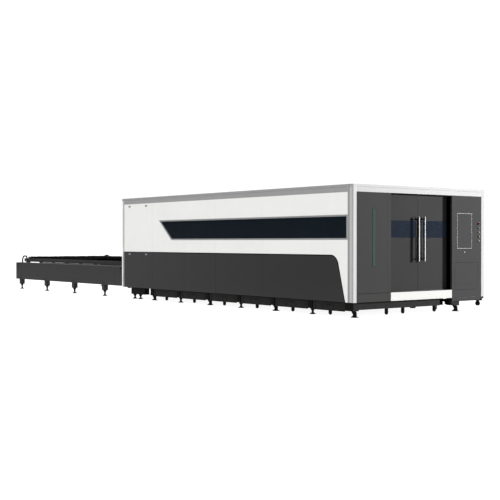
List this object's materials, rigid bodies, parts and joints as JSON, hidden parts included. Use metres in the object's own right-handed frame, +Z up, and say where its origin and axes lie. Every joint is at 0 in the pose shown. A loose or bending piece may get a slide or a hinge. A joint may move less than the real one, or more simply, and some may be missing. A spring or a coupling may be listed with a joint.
{
  "type": "fiber laser cutting machine",
  "caption": "Long enclosed sheet-metal laser cutter with sliding operator doors, moving gantry and cutting head, pull-out scrap drawers and a rear table that exchanges slatted pallets.",
  "frame": {"origin": "centre of the bounding box, on the floor", "axes": "+X points to the operator's door end along the length, +Y away from the long windowed side, +Z up"},
  "size_m": [14.4356, 3.642, 2.425],
  "materials": {
    "panel_white": "smooth satin powder coat",
    "panel_dark": "fine matt powder coat",
    "front_dark": "fine matt powder coat",
    "front_grey": "fine matt powder coat",
    "rail_grey": "satin anodised",
    "post_silver": "satin anodised",
    "roof_grey": "satin powder coat",
    "frame_black": "textured black paint",
    "table_black": "textured dark paint",
    "pallet_steel": "scorched dark paint",
    "slat_steel": "heat-darkened mild steel",
    "tinted_glass": "dark tinted laser glass",
    "door_glass": "blue tinted laser glass",
    "trim_grey": "satin grey",
    "steel": "ground steel",
    "chrome": "bright plated",
    "foot_steel": "blackened steel",
    "light_green": "frosted diffuser",
    "red_plastic": "smooth",
    "green_plastic": "smooth",
    "pale_plastic": "smooth",
    "screen_black": "glossy glass",
    "head_grey": "satin",
    "brass_tip": "machined",
    "cabinet_grey": "satin powder coat"
  },
  "bodies": {
    "machine": {"access_panel_lower": "panel_dark", "access_panel_upper": "panel_white", "bed_frame": "frame_black", "cabin_floor": "frame_black", "chain_drive": "foot_steel", "control_rack": "cabinet_grey", "corner_posts": "post_silver", "door_tracks": "frame_black", "far_lower_panel": "panel_dark", "far_upper_panel": "panel_white", "front_left_panel": "front_dark", "front_right_panel": "front_grey", "front_sill": "panel_white", "laser_source": "cabinet_grey", "levelling_feet": "foot_steel", "light_strip": "light_green", "near_lower_panel": "panel_dark", "near_upper_panel": "panel_white", "pallet_tracks": "steel", "panel_fittings": "chrome", "panel_latches": "trim_grey", "rear_wall": "panel_white", "roof_panel": "roof_grey", "roof_rails": "rail_grey", "table_frame": "table_black", "touch_screen": "screen_black", "window_glass": "tinted_glass", "window_trim": "trim_grey", "x_guides": "steel"},
    "left_leaf": {"left_door": "front_dark", "left_door_glass": "door_glass", "left_handle": "chrome"},
    "right_leaf": {"right_door": "front_dark", "right_door_glass": "door_glass", "right_handle": "chrome"},
    "screen_lid": {"screen_cover": "front_grey", "screen_cover_rim": "chrome"},
    "cabinet_lid": {"cabinet_door": "front_grey"},
    "gantry": {"gantry_beam": "cabinet_grey", "gantry_drives": "foot_steel", "y_rails": "steel"},
    "carriage": {"cross_carriage": "head_grey"},
    "head": {"cutting_head": "head_grey", "nozzle": "brass_tip"},
    "outer_pallet": {"outer_pallet_frame": "pallet_steel", "outer_pallet_slats": "slat_steel"},
    "inner_pallet": {"inner_pallet_frame": "pallet_steel", "inner_pallet_slats": "slat_steel"},
    "shaft": {"drive_shaft": "steel"},
    "emergency_stop_push": {"emergency_stop": "red_plastic"},
    "start_button_push": {"start_button": "green_plastic"},
    "pause_button_push": {"pause_button": "pale_plastic"},
    "light_button_push": {"light_button": "pale_plastic"},
    "reset_button_push": {"reset_button": "pale_plastic"},
    "drawer_1": {"scrap_drawer_1": "frame_black"},
    "drawer_2": {"scrap_drawer_2": "frame_black"},
    "drawer_3": {"scrap_drawer_3": "frame_black"},
    "drawer_4": {"scrap_drawer_4": "frame_black"},
    "drawer_5": {"scrap_drawer_5": "frame_black"},
    "drawer_6": {"scrap_drawer_6": "frame_black"}
  },
  "joints": [
    {"name": "left_door_slide", "type": "slide", "parent": "machine", "child": "left_leaf", "axis": [0, -1, 0], "range_m": [0, 0.73]},
    {"name": "right_door_slide", "type": "slide", "parent": "machine", "child": "right_leaf", "axis": [0, 1, 0], "range_m": [0, 0.73]},
    {"name": "screen_cover_hinge", "type": "hinge", "parent": "machine", "child": "screen_lid", "pos_m": [7.18625, 1.436, 1.5915], "axis": [0, 0, 1], "range_deg": [0, 90]},
    {"name": "cabinet_door_hinge", "type": "hinge", "parent": "machine", "child": "cabinet_lid", "pos_m": [7.18625, 1.612, 0.698], "axis": [0, 0, 1], "range_deg": [0, 100]},
    {"name": "emergency_stop_press", "type": "slide", "parent": "machine", "child": "emergency_stop_push", "axis": [-1, 0, 0], "range_m": [0, 0.004], "stiffness_N_per_m": 600},
    {"name": "start_button_press", "type": "slide", "parent": "machine", "child": "start_button_push", "axis": [-1, 0, 0], "range_m": [0, 0.004], "stiffness_N_per_m": 600},
    {"name": "pause_button_press", "type": "slide", "parent": "machine", "child": "pause_button_push", "axis": [-1, 0, 0], "range_m": [0, 0.004], "stiffness_N_per_m": 600},
    {"name": "light_button_press", "type": "slide", "parent": "machine", "child": "light_button_push", "axis": [-1, 0, 0], "range_m": [0, 0.004], "stiffness_N_per_m": 600},
    {"name": "reset_button_press", "type": "slide", "parent": "machine", "child": "reset_button_push", "axis": [-1, 0, 0], "range_m": [0, 0.004], "stiffness_N_per_m": 600},
    {"name": "gantry_travel", "type": "slide", "parent": "machine", "child": "gantry", "axis": [-1, 0, 0], "range_m": [0, 6]},
    {"name": "carriage_travel", "type": "slide", "parent": "gantry", "child": "carriage", "axis": [0, 1, 0], "range_m": [0, 2.36]},
    {"name": "head_lift", "type": "slide", "parent": "carriage", "child": "head", "axis": [0, 0, -1], "range_m": [0, 0.12]},
    {"name": "outer_pallet_travel", "type": "slide", "parent": "machine", "child": "outer_pallet", "axis": [1, 0, 0], "range_m": [0, 6.96]},
    {"name": "inner_pallet_travel", "type": "slide", "parent": "machine", "child": "inner_pallet", "axis": [-1, 0, 0], "range_m": [0, 6.96]},
    {"name": "drive_shaft_turn", "type": "hinge", "parent": "machine", "child": "shaft", "pos_m": [-6.99775, -0.358, 0.42], "axis": [0, 1, 0], "continuous": true},
    {"name": "drawer_1_pull", "type": "slide", "parent": "machine", "child": "drawer_1", "axis": [0, -1, 0], "range_m": [0, 1.3]},
    {"name": "drawer_2_pull", "type": "slide", "parent": "machine", "child": "drawer_2", "axis": [0, -1, 0], "range_m": [0, 1.3]},
    {"name": "drawer_3_pull", "type": "slide", "parent": "machine", "child": "drawer_3", "axis": [0, -1, 0], "range_m": [0, 1.3]},
    {"name": "drawer_4_pull", "type": "slide", "parent": "machine", "child": "drawer_4", "axis": [0, -1, 0], "range_m": [0, 1.3]},
    {"name": "drawer_5_pull", "type": "slide", "parent": "machine", "child": "drawer_5", "axis": [0, -1, 0], "range_m": [0, 1.3]},
    {"name": "drawer_6_pull", "type": "slide", "parent": "machine", "child": "drawer_6", "axis": [0, -1, 0], "range_m": [0, 1.3]}
  ],
  "couplings": [
    {"joint": "inner_pallet_travel", "follows": "outer_pallet_travel", "ratio": 1},
    {"joint": "drive_shaft_turn", "follows": "outer_pallet_travel", "rad_per_m": 25}
  ]
}
